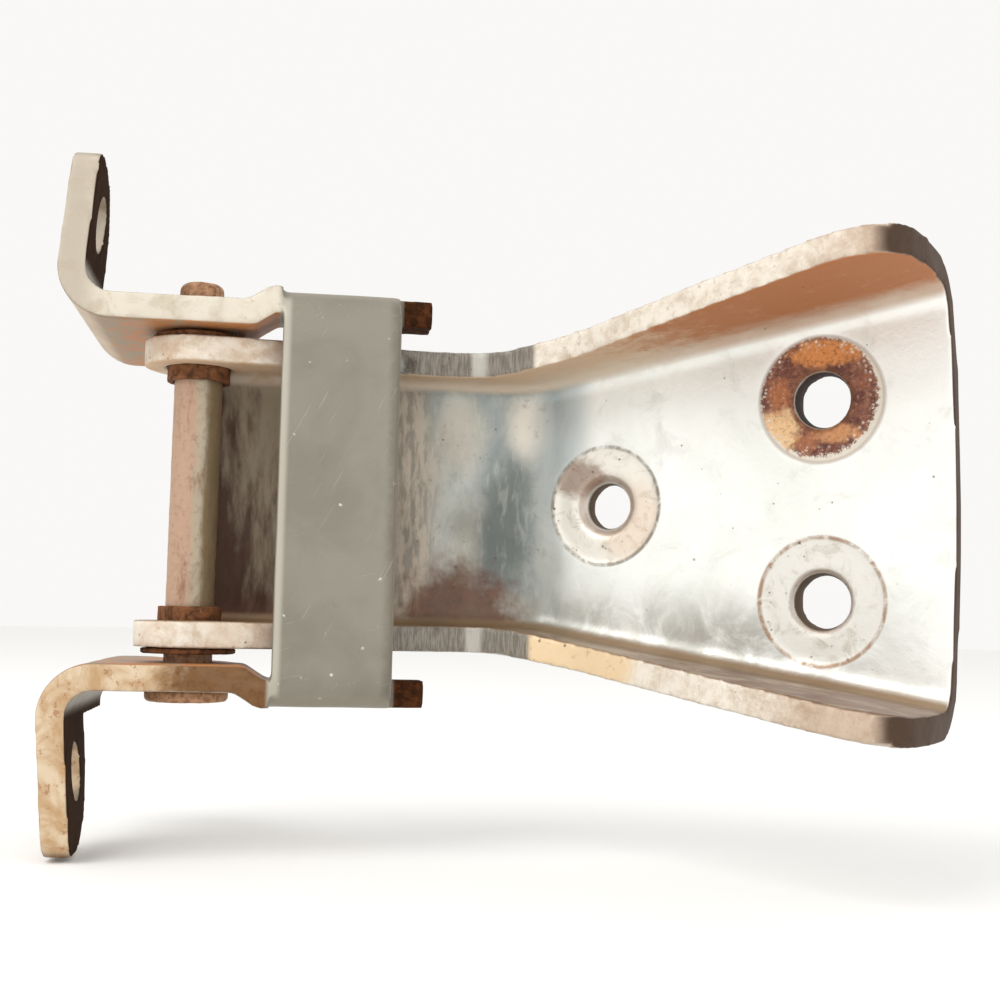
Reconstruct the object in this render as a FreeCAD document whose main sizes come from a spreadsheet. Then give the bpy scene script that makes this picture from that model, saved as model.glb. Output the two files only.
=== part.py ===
import FreeCAD, Part
import math
import os
import Sketcher
from types import SimpleNamespace

# Door hinge: a stamped channel leaf for the pillar and a U-shaped strap for the door, joined by a
# headed pin that turns in two flanged bushes. Row frame: millimetres, origin on the leaf's
# mounting face at its middle hole, +X along the leaf to its wide end, +Y into the pillar,
# +Z up along the pin.

Vector = FreeCAD.Vector

DIMENSIONS = [
    ("sheet_gauge", 4.5, "plate thickness of both stampings"),
    ("bend_inside", 3.0, "inside radius between web and flanges"),
    ("leaf_reach", 58.2, "middle hole to the leaf's wide end"),
    ("end_radius", 450.0, "bow of the wide end"),
    ("end_tilt", 3.1, "tilt of that end, further out in front"),
    ("end_lean", 1.6, "rim corner short of the wide end"),
    ("neck_half", 25.3, "half width of the leaf over its neck"),
    ("flare_start", -14.2, "where the flanges begin to spread"),
    ("flare_angle", 8.6, "spread of each flange"),
    ("flare_radius", 40.0, "outside radius where the spread begins"),
    ("neck_start", -12.0, "where the web turns towards the pin"),
    ("neck_angle", 36.0, "turn of the web"),
    ("neck_radius", 8.0, "inside radius of that turn"),
    ("rim_low", 12.7, "flange rim in front of the web at its lowest"),
    ("rim_middle", 21.3, "rim in front of the web, half way"),
    ("rim_middle_at", 26.0, "middle hole to that half-way point"),
    ("rim_end", 30.1, "rim in front of the web at the wide end"),
    ("rim_corner", 9.0, "corner radius of the flange at the wide end"),
    ("rim_neck_round", 20.0, "rim radius where its slope ends"),
    ("rim_low_round", 30.0, "rim radius at its lowest"),
    ("rim_middle_round", 110.0, "rim radius half way"),
    ("rim_angle", 46.8, "slope of the rim along the neck"),
    ("ear_radius", 9.0, "round end of each ear"),
    ("pin_left", 56.0, "pin axis from the middle hole, along the leaf"),
    ("pin_out", 44.2, "pin axis in front of the mounting face"),
    ("bolt_row", 37.6, "middle hole to the outer pair"),
    ("bolt_pitch", 31.7, "spacing of the outer pair"),
    ("bolt_hole", 9.2, "diameter of the outer pair"),
    ("locating_hole", 8.4, "diameter of the middle hole"),
    ("locating_lead", 1.2, "chamfer of the middle hole"),
    ("seat_size", 20.0, "diameter of the coined seats"),
    ("seat_depth", 0.3, "depth of the coined seats"),
    ("strap_angle", 39.5, "strap's turn about the pin from the row's X"),
    ("strap_drop", 0.5, "strap hangs this far below the leaf's middle"),
    ("bridge_front", 12.3, "bridge's outer face in front of the pin axis"),
    ("bridge_near", 13.6, "pin axis to the bridge's near edge"),
    ("bridge_far", 32.8, "pin axis to the bridge's far edge"),
    ("bridge_half", 34.0, "half height over the bridge"),
    ("bridge_round", 6.5, "outside radius of the bridge's corners"),
    ("arm_setback", 1.0, "arm's front edge behind the bridge's face"),
    ("arm_half", 31.6, "half height over the arms at the pin"),
    ("step_lead", 2.0, "bridge's near edge to the step in the arm"),
    ("step_run", 3.8, "length of that step"),
    ("step_round", 2.0, "radius of its two bends"),
    ("arm_back", 33.0, "arm's rear edge behind the pin axis"),
    ("band_back", 2.0, "strap's rear edge at the bridge, behind the pin axis"),
    ("throat_round", 3.0, "plan radius where arm and bridge part"),
    ("boss_side", 6.3, "side of the arm beside the pin"),
    ("boss_round", 5.0, "plan radius beside the pin"),
    ("rear_round", 8.0, "plan radius at the arm's rear corner"),
    ("toe_reach", 38.5, "pin axis to the ends of the toes"),
    ("toe_front", 5.0, "toe's front edge in front of the pin axis"),
    ("foot_reach", 22.4, "pin axis to the feet's mounting faces at the arms"),
    ("foot_lean", 5.0, "lean of both feet towards the bridge"),
    ("foot_bend", 4.0, "inside radius between arm and foot"),
    ("foot_width", 22.0, "width of each foot"),
    ("upper_tip", 54.6, "strap's middle to the end of the upper foot"),
    ("lower_tip", 57.4, "strap's middle to the end of the lower foot"),
    ("foot_far_round", 16.0, "radius of the foot's rear corner"),
    ("foot_near_round", 3.5, "radius of the foot's front corner"),
    ("foot_height", 45.2, "strap's middle to each foot hole"),
    ("foot_hole", 9.0, "diameter of the foot holes"),
    ("pin_size", 8.0, "pin shank diameter"),
    ("head_size", 13.6, "pin head diameter"),
    ("head_height", 2.0, "pin head height"),
    ("head_round", 0.8, "radius of the head's rim"),
    ("tail_size", 7.4, "peened tail diameter"),
    ("tail_height", 4.2, "peened tail above the upper arm"),
    ("tail_round", 1.2, "radius of the tail's rim"),
    ("bush_size", 10.4, "bush outside diameter"),
    ("bush_gap", 0.05, "radial running clearance on the pin"),
    ("bush_reach", 2.3, "bush end past the inside of the ear"),
    ("collar_size", 15.4, "bush flange diameter"),
    ("collar_height", 1.0, "bush flange thickness"),
    ("collar_round", 0.3, "radius of the bush flange's rim"),
]

doc = FreeCAD.newDocument("door_hinge")
sheet = doc.addObject("Spreadsheet::Sheet", "dimensions")
for row, (alias, value, meaning) in enumerate(DIMENSIONS, start=1):
    sheet.set(f"A{row}", alias)
    sheet.set(f"B{row}", str(value))
    sheet.setAlias(f"B{row}", alias)
    sheet.set(f"C{row}", meaning)
doc.recompute()

ROOM = 90.0      # reach of a cut that only has to pass the stock
CLEAR = 1.0      # how far such a cut starts outside a face
SAME = 1e-6      # points closer than this are one point
FINE = 0.1       # an edge this close to where it is looked for is the one meant
LOOSE = 1.0      # the same, for edges that bend or lean
PIERCE = 4.0     # length of a hole's cut in plate thicknesses


def size(alias):
    """The value of one cell of the sheet."""
    return float(sheet.get(alias))


def cell(alias):
    """The expression that names one cell."""
    return f"<<dimensions>>.{alias}"


def unit(angle):
    """Unit vector in a sketch at an angle in degrees."""
    return Vector(math.cos(math.radians(angle)), math.sin(math.radians(angle)), 0)


def crossing(first, first_way, second, second_way):
    """Where two lines of one plane meet, each given by a point and a direction."""
    across = first_way.x * second_way.y - first_way.y * second_way.x
    offset = second - first
    along = (offset.x * second_way.y - offset.y * second_way.x) / across
    return first + first_way * along


def outline(sketch, corners):
    """Closed outline of lines, each corner (x, y, radius) rounded by a tangent arc."""
    points = [Vector(x, y, 0) for x, y, radius in corners]
    radii = [radius for x, y, radius in corners]
    stretches = []
    for index, (point, radius) in enumerate(zip(points, radii)):
        back = (points[index - 1] - point).normalize()
        ahead = (points[(index + 1) % len(points)] - point).normalize()
        half = back.getAngle(ahead) / 2
        reach = radius / math.tan(half)
        if radius:
            middle = point + (back + ahead).normalize() * (radius / math.sin(half) - radius)
            stretches.append((point + back * reach, middle, point + ahead * reach))
        else:
            stretches.append((point, None, point))
    for index, (start, middle, end) in enumerate(stretches):
        if middle:
            sketch.addGeometry(Part.Arc(start, middle, end))
        following = stretches[(index + 1) % len(stretches)][0]
        if end.distanceToPoint(following) > SAME:
            sketch.addGeometry(Part.LineSegment(end, following))


def new_body(name):
    body = doc.addObject("PartDesign::Body", name)
    body.Label = name
    body.AllowCompound = True
    return body


def new_sketch(body, name, plane, offset=0.0, centre=(0.0, 0.0), tilt=0.0, about=(1, 0, 0)):
    """Sketch on one of the body's own planes, moved along its normal, tilted about its own axis."""
    sketch = body.newObject("Sketcher::SketchObject", name)
    origin_plane = [feature for feature in body.Origin.OriginFeatures if feature.Role == plane][0]
    sketch.AttachmentSupport = [(origin_plane, "")]
    sketch.MapMode = "FlatFace"
    turn = FreeCAD.Rotation(Vector(*about), tilt)
    sketch.AttachmentOffset = FreeCAD.Placement(Vector(*centre, offset), turn)
    return sketch


def circle(sketch, x, y, diameter_alias):
    """Circle whose diameter follows the sheet."""
    index = sketch.addGeometry(Part.Circle(Vector(x, y, 0), Vector(0, 0, 1), size(diameter_alias) / 2))
    row = sketch.addConstraint(Sketcher.Constraint("Diameter", index, size(diameter_alias)))
    sketch.setExpression(f"Constraints[{row}]", cell(diameter_alias))
    sketch.addConstraint(Sketcher.Constraint("DistanceX", -1, 1, index, 3, x))
    sketch.addConstraint(Sketcher.Constraint("DistanceY", -1, 1, index, 3, y))


def extrude(body, kind, name, sketch, length, both_ways=False, backwards=False):
    """Pad or Pocket of a sketch; length is a number or an expression on the sheet."""
    feature = body.newObject(f"PartDesign::{kind}", name)
    feature.Profile = sketch
    feature.Midplane = both_ways
    feature.Reversed = backwards
    if isinstance(length, str):
        feature.setExpression("Length", length)
    else:
        feature.Length = length
    doc.recompute()
    return feature


def dress(body, kind, name, radius_expression, chosen):
    """Fillet or Chamfer on the edges of the body's tip that chosen() accepts."""
    base = body.Tip
    edges = [f"Edge{index}" for index, edge in enumerate(base.Shape.Edges, start=1) if chosen(edge)]
    feature = body.newObject(f"PartDesign::{kind}", name)
    feature.Base = (base, edges)
    feature.setExpression("Radius" if kind == "Fillet" else "Size", radius_expression)
    doc.recompute()
    return feature


def middle_of(edge):
    """Point half way along an edge."""
    first, last = edge.ParameterRange
    return edge.valueAt((first + last) / 2)


# Pillar leaf --------------------------------------------------------------------------------

def flare(x, inset):
    """Half width of the leaf at x, measured inset inside its outer face."""
    angle = math.radians(size("flare_angle"))
    spread = max(0.0, x - size("flare_start") - inset * math.tan(angle / 2)) * math.tan(angle)
    return size("neck_half") - inset + spread


def leaf_lines():
    """Points and directions that the leaf's sketches share."""
    gauge = size("sheet_gauge")
    along = unit(180 + size("neck_angle"))
    behind = unit(90 + size("neck_angle"))
    front_turn = Vector(size("neck_start"), -gauge, 0)
    back_turn = Vector(size("neck_start") - gauge * math.tan(math.radians(size("neck_angle") / 2)), 0, 0)
    pin = Vector(-size("pin_left"), -size("pin_out"), 0)
    front_end = front_turn + along * (pin - front_turn).dot(along)
    return SimpleNamespace(
        along=along,
        behind=behind,
        front_turn=front_turn,
        back_turn=back_turn,
        pin=pin,
        front_end=front_end,
        back_end=front_end + behind * gauge,
        slope=unit(size("rim_angle")),
        touch=pin - unit(90 + size("rim_angle")) * size("ear_radius"),
    )


def rim_corners():
    """Rim of a flange from the neck to the wide end, as rounded corners."""
    gauge = size("sheet_gauge")
    line = leaf_lines()
    low = Vector(0, -gauge - size("rim_low"), 0)
    turn = crossing(line.touch, line.slope, low, Vector(1, 0, 0))
    end_x = size("leaf_reach") - size("end_lean")
    return [
        (turn.x, turn.y, size("rim_neck_round")),
        (low.x, low.y, size("rim_low_round")),
        (size("rim_middle_at"), -gauge - size("rim_middle"), size("rim_middle_round")),
        (end_x, -gauge - size("rim_end"), size("rim_corner")),
    ]


def leaf_side(sketch):
    """Side outline of web and flanges, square where the web ends at the pin, left long at the wide end."""
    line = leaf_lines()
    rim_start = crossing(line.touch, line.slope, line.front_end, line.behind)
    corners = [
        (size("leaf_reach") + CLEAR, 0, 0),
        (line.back_turn.x, line.back_turn.y, size("neck_radius") + size("sheet_gauge")),
        (line.back_end.x, line.back_end.y, 0),
        (rim_start.x, rim_start.y, 0),
    ]
    outline(sketch, corners + rim_corners())


def leaf_web(sketch):
    """Side outline of the web alone, left long at the wide end."""
    line = leaf_lines()
    long_end = size("leaf_reach") + CLEAR
    outline(sketch, [
        (long_end, 0, 0),
        (line.back_turn.x, line.back_turn.y, size("neck_radius") + size("sheet_gauge")),
        (line.back_end.x, line.back_end.y, 0),
        (line.front_end.x, line.front_end.y, 0),
        (line.front_turn.x, line.front_turn.y, size("neck_radius")),
        (long_end, -size("sheet_gauge"), 0),
    ])


def leaf_width(sketch, inset):
    """Front outline of the leaf, inset inside its outer faces."""
    turn_x = size("flare_start") + inset * math.tan(math.radians(size("flare_angle") / 2))
    radius = size("flare_radius") + inset
    upper = [
        (-ROOM, size("neck_half") - inset, 0),
        (turn_x, size("neck_half") - inset, radius),
        (ROOM, flare(ROOM, inset), 0),
    ]
    lower = [(x, -z, corner_radius) for x, z, corner_radius in reversed(upper)]
    outline(sketch, upper + lower)


def leaf_ears(sketch):
    """Side outline of an ear: round about the pin, running into the flange."""
    line = leaf_lines()
    radius = size("ear_radius")
    tip = line.pin + line.along * radius
    tip_front = crossing(line.touch, line.slope, tip, line.behind)
    tip_back = tip + line.behind * radius
    clear = line.front_end - line.behind * size("bend_inside")
    root = clear - line.along * radius
    root_front = crossing(line.touch, line.slope, root, line.behind)
    waist = line.pin + line.behind * radius
    outline(sketch, [
        (waist.x, waist.y, 0),
        (tip_back.x, tip_back.y, radius),
        (tip_front.x, tip_front.y, radius),
        (root_front.x, root_front.y, 0),
        (root.x, root.y, 0),
        (clear.x, clear.y, 0),
    ])


def wide_end(sketch):
    """Everything past the bowed wide end, in the plane of a sketch tilted about the middle hole."""
    reach = size("leaf_reach") * math.cos(math.radians(size("end_tilt")))
    radius = size("end_radius")
    sag = radius - math.sqrt(radius ** 2 - ROOM ** 2)
    low, high = Vector(reach - sag, -ROOM, 0), Vector(reach - sag, ROOM, 0)
    beyond = ROOM * 2
    sketch.addGeometry(Part.Arc(low, Vector(reach, 0, 0), high))
    corners = [high, Vector(beyond, ROOM, 0), Vector(beyond, -ROOM, 0), low]
    for start, end in zip(corners, corners[1:]):
        sketch.addGeometry(Part.LineSegment(start, end))


def on_web(edge, inset, face_y):
    """True for an edge that runs along the web where a flange leaves it."""
    centre = middle_of(edge)
    ends = [vertex.Point for vertex in edge.Vertexes]
    if len(ends) < 2 or abs(ends[0].x - ends[1].x) < LOOSE:
        return False
    turn_slope = math.tan(math.radians(size("neck_angle")))
    drop = max(0.0, size("neck_start") - centre.x) * turn_slope
    allowance = size("sheet_gauge") / 2
    beside = abs(abs(centre.z) - flare(centre.x, inset)) < LOOSE
    return beside and abs(centre.y - face_y + drop) < allowance


def pillar_leaf():
    body = new_body("pillar_leaf")
    gauge = size("sheet_gauge")

    side = new_sketch(body, "leaf_side", "XY_Plane")
    leaf_side(side)
    extrude(body, "Pad", "leaf_stock", side, 2 * ROOM, both_ways=True)

    inside = new_sketch(body, "leaf_inside", "XZ_Plane")
    leaf_width(inside, gauge)
    extrude(body, "Pocket", "between_flanges", inside, 2 * ROOM, both_ways=True)

    web = new_sketch(body, "leaf_web", "XY_Plane")
    leaf_web(web)
    extrude(body, "Pad", "web", web, 2 * ROOM, both_ways=True)

    outside = new_sketch(body, "leaf_outside", "XZ_Plane")
    margin = 2 * ROOM
    outline(outside, [(-margin, -margin, 0), (margin, -margin, 0), (margin, margin, 0), (-margin, margin, 0)])
    leaf_width(outside, 0)
    extrude(body, "Pocket", "outside_flanges", outside, 2 * ROOM, both_ways=True)

    end = new_sketch(body, "wide_end", "XZ_Plane", tilt=size("end_tilt"), about=(0, 1, 0))
    wide_end(end)
    extrude(body, "Pocket", "bowed_end", end, 2 * ROOM, both_ways=True)

    dress(body, "Fillet", "inside_bends", cell("bend_inside"), lambda edge: on_web(edge, gauge, -gauge))
    dress(body, "Fillet", "outside_bends", f"{cell('bend_inside')} + {cell('sheet_gauge')}",
          lambda edge: on_web(edge, 0, 0))

    ears = new_sketch(body, "ear_side", "XY_Plane")
    leaf_ears(ears)
    extrude(body, "Pad", "ear_stock", ears, f"2 * {cell('neck_half')}", both_ways=True)
    between = new_sketch(body, "between_ears", "XY_Plane")
    leaf_ears(between)
    extrude(body, "Pocket", "ear_gap", between, f"2 * ({cell('neck_half')} - {cell('sheet_gauge')})",
            both_ways=True)

    bores = new_sketch(body, "bush_bores", "XY_Plane")
    circle(bores, -size("pin_left"), -size("pin_out"), "bush_size")
    extrude(body, "Pocket", "bush_holes", bores, 2 * ROOM, both_ways=True)

    places = [(0, 0), (size("bolt_row"), size("bolt_pitch") / 2), (size("bolt_row"), -size("bolt_pitch") / 2)]
    seats = new_sketch(body, "seats", "XZ_Plane", gauge)
    for x, z in places:
        circle(seats, x, z, "seat_size")
    extrude(body, "Pocket", "coined_seats", seats, cell("seat_depth"))
    holes = new_sketch(body, "bolt_circles", "XZ_Plane")
    for (x, z), diameter in zip(places, ("locating_hole", "bolt_hole", "bolt_hole")):
        circle(holes, x, z, diameter)
    extrude(body, "Pocket", "bolt_holes", holes, PIERCE * gauge, both_ways=True)

    def is_lead(edge):
        centre = edge.BoundBox.Center
        small = abs(edge.BoundBox.XLength - size("locating_hole")) < FINE
        return small and abs(centre.x) < FINE and centre.y < -gauge / 2
    dress(body, "Chamfer", "locating_lead_in", cell("locating_lead"), is_lead)
    return body


# Door strap ---------------------------------------------------------------------------------
# Its own frame: origin on the pin axis, X towards the bridge, Y away from the bridge's face.

def foot_face(z):
    """Where a foot's mounting face is at a height from the strap's middle."""
    return (z - size("arm_half")) * math.tan(math.radians(size("foot_lean"))) - size("foot_reach")


def arm_section(sketch, side):
    """Front outline of one arm with its step beside the pin and its foot; side is +1 or -1."""
    gauge = size("sheet_gauge")
    near = size("bridge_near")
    rise = size("bridge_half") - size("arm_half")
    step_top = near - size("step_lead")
    step_foot = step_top - size("step_run")
    shift = gauge * math.tan(math.atan2(rise, size("step_run")) / 2)
    step_round = size("step_round")
    arm_inside = size("arm_half") - gauge
    foot_through = gauge / math.cos(math.radians(size("foot_lean")))
    foot_top = size("lower_tip") + CLEAR
    outer_bend = size("foot_bend") + gauge
    corners = [
        (near, size("bridge_half"), 0),
        (step_top, size("bridge_half"), step_round),
        (step_foot, size("arm_half"), step_round),
        (foot_face(size("arm_half")) + foot_through, size("arm_half"), size("foot_bend")),
        (foot_face(foot_top) + foot_through, foot_top, 0),
        (foot_face(foot_top), foot_top, 0),
        (foot_face(arm_inside), arm_inside, outer_bend),
        (step_foot + shift, arm_inside, step_round),
        (step_top + shift, size("bridge_half") - gauge, step_round),
        (near, size("bridge_half") - gauge, 0),
    ]
    outline(sketch, [(x, side * z, radius) for x, z, radius in corners])


def strap_plan(sketch):
    """Plan outline of the strap inside a wide frame, so that a cut leaves only the plan."""
    pin_wall = size("ear_radius")
    rear = size("arm_back")
    front = -size("bridge_front") - CLEAR
    outer = size("foot_reach") + CLEAR
    toe_end = size("toe_reach") + CLEAR
    margin = 2 * ROOM
    outline(sketch, [(-margin, -margin, 0), (margin, -margin, 0), (margin, margin, 0), (-margin, margin, 0)])
    outline(sketch, [
        (-outer, front, 0),
        (toe_end, front, 0),
        (toe_end, size("band_back"), 0),
        (pin_wall, size("band_back"), size("throat_round")),
        (size("boss_side"), pin_wall, size("boss_round")),
        (-pin_wall, rear, size("rear_round")),
        (-outer, rear, 0),
    ])


def foot_trim(sketch, side, tip):
    """What is cut from one foot to leave a lug at the strap's front; side is +1 or -1."""
    front = size("arm_setback") - size("bridge_front")
    rear = front + size("foot_width")
    root = size("arm_half") + size("foot_bend") + CLEAR
    corners = [
        (rear, root, 0),
        (rear, tip, size("foot_far_round")),
        (front, tip, size("foot_near_round")),
        (front, root, 0),
        (-ROOM, root, 0),
        (-ROOM, ROOM, 0),
        (ROOM, ROOM, 0),
        (ROOM, root, 0),
    ]
    outline(sketch, [(y, side * z, radius) for y, z, radius in corners])


def rectangle(sketch, left, right, bottom, top):
    outline(sketch, [(left, bottom, 0), (right, bottom, 0), (right, top, 0), (left, top, 0)])


def door_strap():
    body = new_body("door_strap")
    gauge = size("sheet_gauge")
    half = size("bridge_half")
    near, far = size("bridge_near"), size("bridge_far")
    front, back = size("bridge_front"), size("band_back")

    block = new_sketch(body, "bridge_front_view", "XZ_Plane", -back)
    rectangle(block, near, far, -half, half)
    extrude(body, "Pad", "bridge_stock", block, f"{cell('bridge_front')} + {cell('band_back')}")
    hollow = new_sketch(body, "bridge_inside", "XZ_Plane", front - gauge)
    rectangle(hollow, near - CLEAR, far + CLEAR, gauge - half, half - gauge)
    extrude(body, "Pocket", "bridge_hollow", hollow, ROOM)

    def is_corner(edge, y, z):
        centre = middle_of(edge)
        return abs(centre.y - y) < FINE and abs(abs(centre.z) - z) < FINE and near < centre.x < far
    dress(body, "Fillet", "bridge_corners", cell("bridge_round"), lambda edge: is_corner(edge, -front, half))
    dress(body, "Fillet", "bridge_inside_corners", f"{cell('bridge_round')} - {cell('sheet_gauge')}",
          lambda edge: is_corner(edge, gauge - front, half - gauge))

    arms = new_sketch(body, "arms_front_view", "XZ_Plane", -size("arm_back"))
    arm_section(arms, 1)
    arm_section(arms, -1)
    extrude(body, "Pad", "arms", arms,
            f"{cell('arm_back')} + {cell('bridge_front')} - {cell('arm_setback')}")
    plan = new_sketch(body, "plan", "XY_Plane")
    strap_plan(plan)
    extrude(body, "Pocket", "plan_trim", plan, 2 * ROOM, both_ways=True)
    feet = new_sketch(body, "feet_side_view", "YZ_Plane", -size("foot_reach") / 2)
    foot_trim(feet, 1, size("upper_tip"))
    foot_trim(feet, -1, size("lower_tip"))
    extrude(body, "Pocket", "feet_trim", feet, cell("foot_reach"))

    toes = new_sketch(body, "toes_front_view", "XZ_Plane", -back)
    for side in (1, -1):
        rectangle(toes, far - gauge, size("toe_reach"), side * (half - gauge), side * half)
    extrude(body, "Pad", "toes", toes, f"{cell('band_back')} + {cell('toe_front')}")

    pin_hole = new_sketch(body, "pin_circle", "XY_Plane")
    circle(pin_hole, 0, 0, "pin_size")
    extrude(body, "Pocket", "pin_holes", pin_hole, 2 * ROOM, both_ways=True)
    hole_y = size("arm_setback") - front + size("foot_width") / 2
    for name, side in (("upper", 1), ("lower", -1)):
        hole = new_sketch(body, f"{name}_foot_circle", "YZ_Plane", foot_face(size("foot_height")),
                          centre=(hole_y, side * size("foot_height")), tilt=side * size("foot_lean"))
        circle(hole, 0, 0, "foot_hole")
        extrude(body, "Pocket", f"{name}_foot_hole", hole, PIERCE * gauge, both_ways=True)
    return body


# Pin and bushes -----------------------------------------------------------------------------

def turned(name, corners):
    """Body turned about its own Z from an outline of (radius, z, corner radius)."""
    body = new_body(name)
    profile = new_sketch(body, f"{name}_profile", "XZ_Plane")
    outline(profile, corners)
    feature = body.newObject("PartDesign::Revolution", f"{name}_turned")
    feature.Profile = profile
    feature.ReferenceAxis = (profile, ["V_Axis"])
    feature.Angle = 360
    doc.recompute()
    return body


def hinge_pin():
    head_face = -size("arm_half")
    tail_top = size("arm_half") + size("tail_height")
    return turned("hinge_pin", [
        (0, head_face - size("head_height"), 0),
        (size("head_size") / 2, head_face - size("head_height"), size("head_round")),
        (size("head_size") / 2, head_face, 0),
        (size("pin_size") / 2, head_face, 0),
        (size("pin_size") / 2, size("arm_half"), 0),
        (size("tail_size") / 2, size("arm_half"), 0),
        (size("tail_size") / 2, tail_top, size("tail_round")),
        (0, tail_top, 0),
    ])


def bush(name):
    """Flanged bush, its flange standing on z = 0 and its tube hanging below."""
    bore = size("pin_size") / 2 + size("bush_gap")
    tube = size("bush_size") / 2
    collar = size("collar_size") / 2
    end = -size("sheet_gauge") - size("bush_reach")
    return turned(name, [
        (bore, end, 0),
        (tube, end, 0),
        (tube, 0, 0),
        (collar, 0, 0),
        (collar, size("collar_height"), size("collar_round")),
        (bore, size("collar_height"), 0),
    ])


def place(body, height_expression, turn_about_z=None, upside_down=False):
    """Stand a body on the pin axis at a height, both taken from the sheet."""
    if upside_down:
        body.Placement = FreeCAD.Placement(Vector(0, 0, 0), FreeCAD.Rotation(Vector(1, 0, 0), 180))
    body.setExpression(".Placement.Base.x", f"-{cell('pin_left')}")
    body.setExpression(".Placement.Base.y", f"-{cell('pin_out')}")
    body.setExpression(".Placement.Base.z", height_expression)
    if turn_about_z:
        body.setExpression(".Placement.Rotation.Angle", turn_about_z)


leaf = pillar_leaf()
strap = door_strap()
pin_body = hinge_pin()
upper = bush("upper_bush")
lower = bush("lower_bush")
place(strap, f"-{cell('strap_drop')}", turn_about_z=cell("strap_angle"))
place(pin_body, f"-{cell('strap_drop')}")
place(upper, cell("neck_half"))
place(lower, f"-{cell('neck_half')}", upside_down=True)
doc.recompute()

for item in doc.Objects:
    if "Invalid" in item.State or "Error" in item.State:
        raise RuntimeError(f"{item.Name} failed: {item.State}")

os.makedirs("parts", exist_ok=True)
for body in (leaf, strap, pin_body, upper, lower):
    shape = body.Shape
    if shape.isNull() or not shape.isValid() or len(shape.Solids) != 1:
        raise RuntimeError(f"{body.Label}: {len(shape.Solids)} solids, valid {shape.isValid()}")
    shape.exportStep(f"parts/{body.Label}.step")
    box = shape.BoundBox
    print(body.Label, round(shape.Volume), "mm3", [round(value, 1) for value in
          (box.XMin, box.XMax, box.YMin, box.YMax, box.ZMin, box.ZMax)])
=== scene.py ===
import bmesh
import bpy
import math
import numpy as np
from mathutils import Matrix, Vector, noise
from types import SimpleNamespace


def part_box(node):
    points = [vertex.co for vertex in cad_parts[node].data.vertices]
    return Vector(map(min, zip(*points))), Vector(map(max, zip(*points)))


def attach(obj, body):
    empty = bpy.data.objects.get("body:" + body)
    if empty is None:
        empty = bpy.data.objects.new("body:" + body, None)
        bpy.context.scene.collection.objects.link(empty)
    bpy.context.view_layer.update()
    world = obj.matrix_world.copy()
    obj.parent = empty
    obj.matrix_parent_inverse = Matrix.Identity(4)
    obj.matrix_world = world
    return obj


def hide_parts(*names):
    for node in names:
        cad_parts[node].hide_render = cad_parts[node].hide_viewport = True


# Door hinge: a flared channel leaf with three bolt seats, a U-shaped strap with two feet, and a
# headed pin in two flanged bushes. Each part is a finely meshed copy of its CAD node with worn
# edges, dents and pits, under procedural zinc, paint and rust. Meshes are in metres in the row
# frame; dimensions and material coordinates are in millimetres.

MM = 0.001
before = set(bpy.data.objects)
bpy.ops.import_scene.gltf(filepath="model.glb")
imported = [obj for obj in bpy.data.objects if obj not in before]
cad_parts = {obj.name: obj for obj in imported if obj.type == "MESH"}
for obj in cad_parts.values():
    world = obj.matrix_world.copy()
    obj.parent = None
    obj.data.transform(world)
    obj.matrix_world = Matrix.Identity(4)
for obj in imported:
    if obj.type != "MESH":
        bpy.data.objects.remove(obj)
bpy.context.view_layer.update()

# Places that shapes and materials share, from the CAD part's own dimensions.
GAUGE = 4.5
PIN = (-56.0, -44.2, 0.0)
STRAP_TURN = math.radians(39.5)
SEATS = {"middle": (0.0, 0.0), "upper": (37.6, 15.85), "lower": (37.6, -15.85)}
NECK_START = -12.0
NECK_SLOPE = math.tan(math.radians(36.0))
FLARE_START = -14.2
FLARE_SLOPE = math.tan(math.radians(8.6))
NECK_HALF = 25.3


def colour(red, green, blue):
    """Linear colour of three sRGB numbers from 0 to 255."""
    linear = []
    for value in (red, green, blue):
        share = value / 255
        linear.append(share / 12.92 if share <= 0.04045 else ((share + 0.055) / 1.055) ** 2.4)
    return (*linear, 1.0)


# Material building ----------------------------------------------------------------------------

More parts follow.
